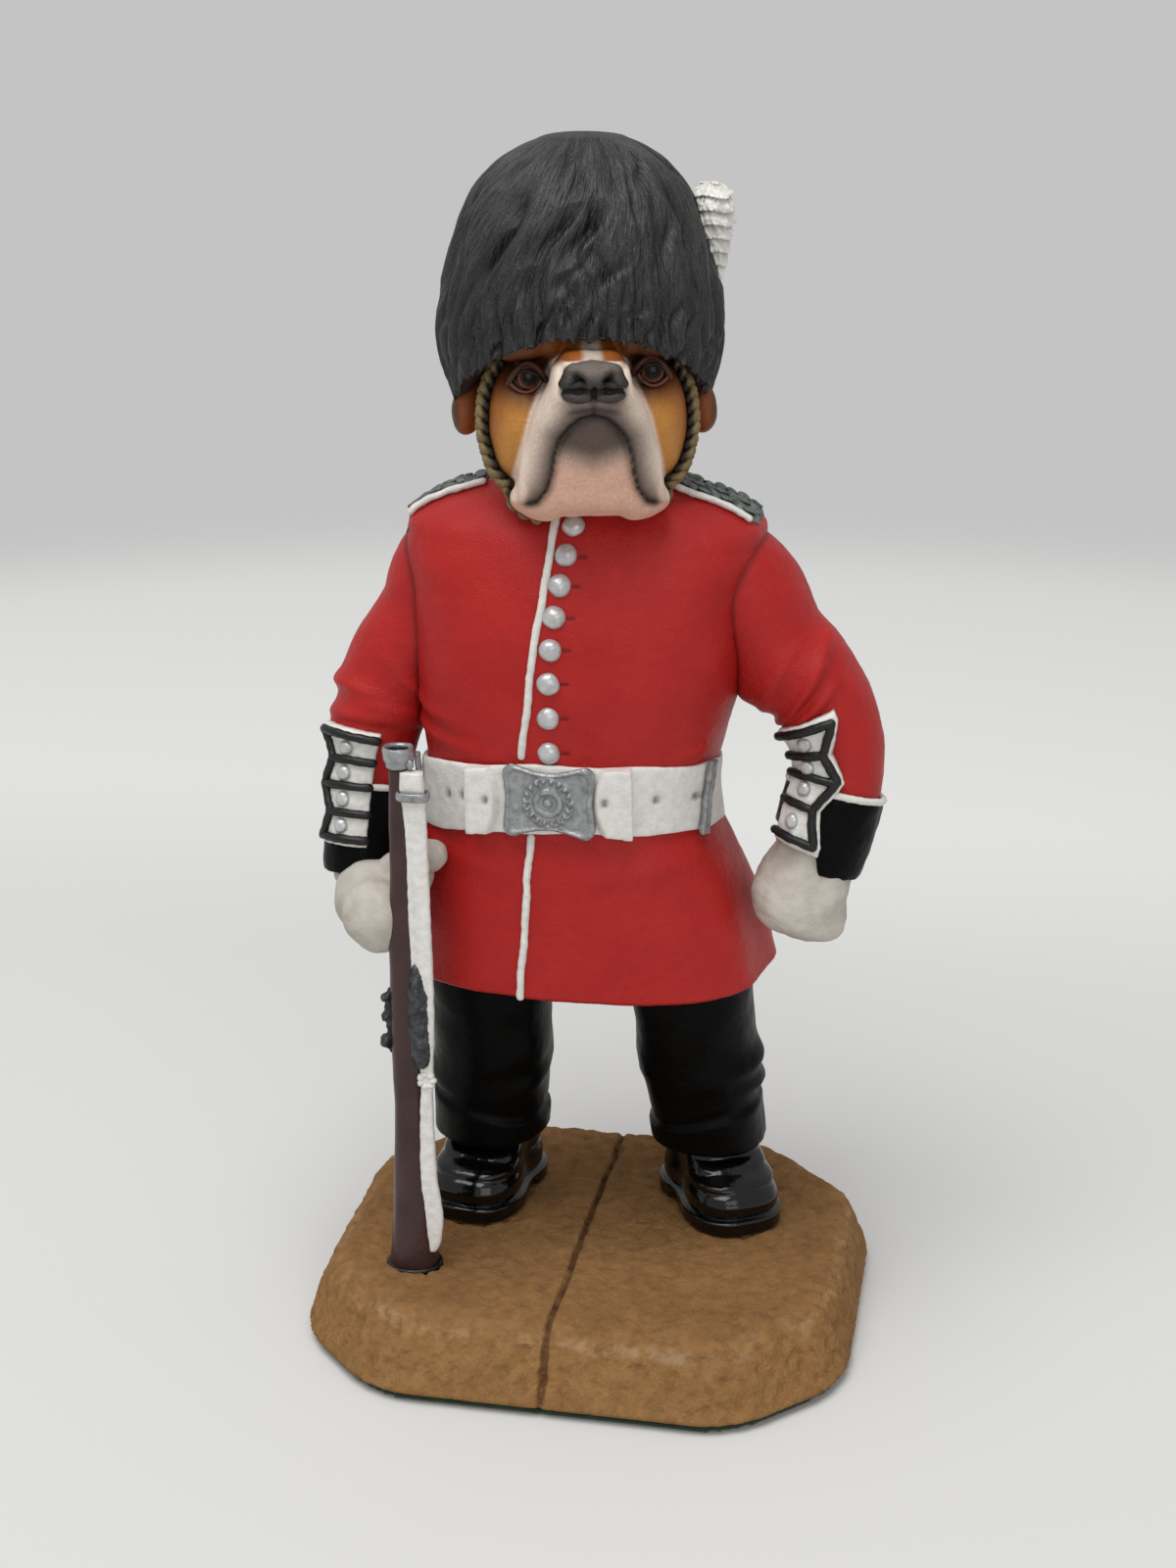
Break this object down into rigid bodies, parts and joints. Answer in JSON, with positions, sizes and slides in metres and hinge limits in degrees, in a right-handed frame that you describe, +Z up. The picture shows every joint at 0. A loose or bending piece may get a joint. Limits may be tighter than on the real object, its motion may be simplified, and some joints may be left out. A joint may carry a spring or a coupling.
{
  "type": "dog figurine",
  "caption": "Painted cast-resin figurine of a boxer dog standing on a paving slab in a foot guard's scarlet tunic and bearskin, with a grounded rifle.",
  "frame": {"origin": "middle of the felt's underside, where the figurine stands", "axes": "+Z up, the dog faces -Y, +X toward the dog's left"},
  "size_m": [0.0666, 0.0588, 0.14],
  "materials": {
    "slab_tan": "matte stippled paint over cast resin",
    "felt_green": "felt",
    "tunic_scarlet": "satin stippled paint over cast resin",
    "trouser_black": "satin paint over cast resin",
    "boot_black": "gloss paint over cast resin",
    "white_trim": "matte paint over cast resin",
    "silver_trim": "metallic paint over cast resin",
    "epaulette_grey": "metallic paint over cast resin",
    "coat_fawn": "airbrushed satin paint over cast resin",
    "nose_black": "satin paint over cast resin",
    "eye_brown": "gloss paint over cast resin",
    "bearskin_black": "matte dry-brushed paint over cast resin",
    "chain_gold": "matte paint with dark wash over cast resin",
    "stock_maroon": "satin paint over cast resin",
    "action_grey": "metallic paint over cast resin"
  },
  "bodies": {
    "root": {"base": "slab_tan", "bearskin_cap": "bearskin_black", "belt": "white_trim", "belt_buckle": "silver_trim", "felt_pad": "felt_green", "front_piping_lower": "white_trim", "front_piping_upper": "white_trim", "head": "coat_fawn", "left_belt_keeper": "silver_trim", "left_boot": "boot_black", "left_chin_chain": "chain_gold", "left_cuff": "trouser_black", "left_cuff_braid": "trouser_black", "left_cuff_button_1": "silver_trim", "left_cuff_button_2": "silver_trim", "left_cuff_button_3": "silver_trim", "left_cuff_button_4": "silver_trim", "left_cuff_slash": "white_trim", "left_epaulette": "epaulette_grey", "left_epaulette_piping": "white_trim", "left_eye": "eye_brown", "left_glove": "white_trim", "left_sleeve": "tunic_scarlet", "left_trouser_leg": "trouser_black", "nose": "nose_black", "plume": "white_trim", "rifle_action": "action_grey", "rifle_bolt": "action_grey", "rifle_muzzle": "silver_trim", "rifle_sling": "white_trim", "rifle_stock": "stock_maroon", "right_belt_keeper": "silver_trim", "right_boot": "boot_black", "right_chin_chain": "chain_gold", "right_cuff": "trouser_black", "right_cuff_braid": "trouser_black", "right_cuff_button_1": "silver_trim", "right_cuff_button_2": "silver_trim", "right_cuff_button_3": "silver_trim", "right_cuff_button_4": "silver_trim", "right_cuff_slash": "white_trim", "right_epaulette": "epaulette_grey", "right_epaulette_piping": "white_trim", "right_eye": "eye_brown", "right_glove": "white_trim", "right_sleeve": "tunic_scarlet", "right_trouser_leg": "trouser_black", "sling_band": "silver_trim", "tunic": "tunic_scarlet", "tunic_button_1": "silver_trim", "tunic_button_2": "silver_trim", "tunic_button_3": "silver_trim", "tunic_button_4": "silver_trim", "tunic_button_5": "silver_trim", "tunic_button_6": "silver_trim", "tunic_button_7": "silver_trim", "tunic_button_8": "silver_trim"}
  },
  "joints": []
}
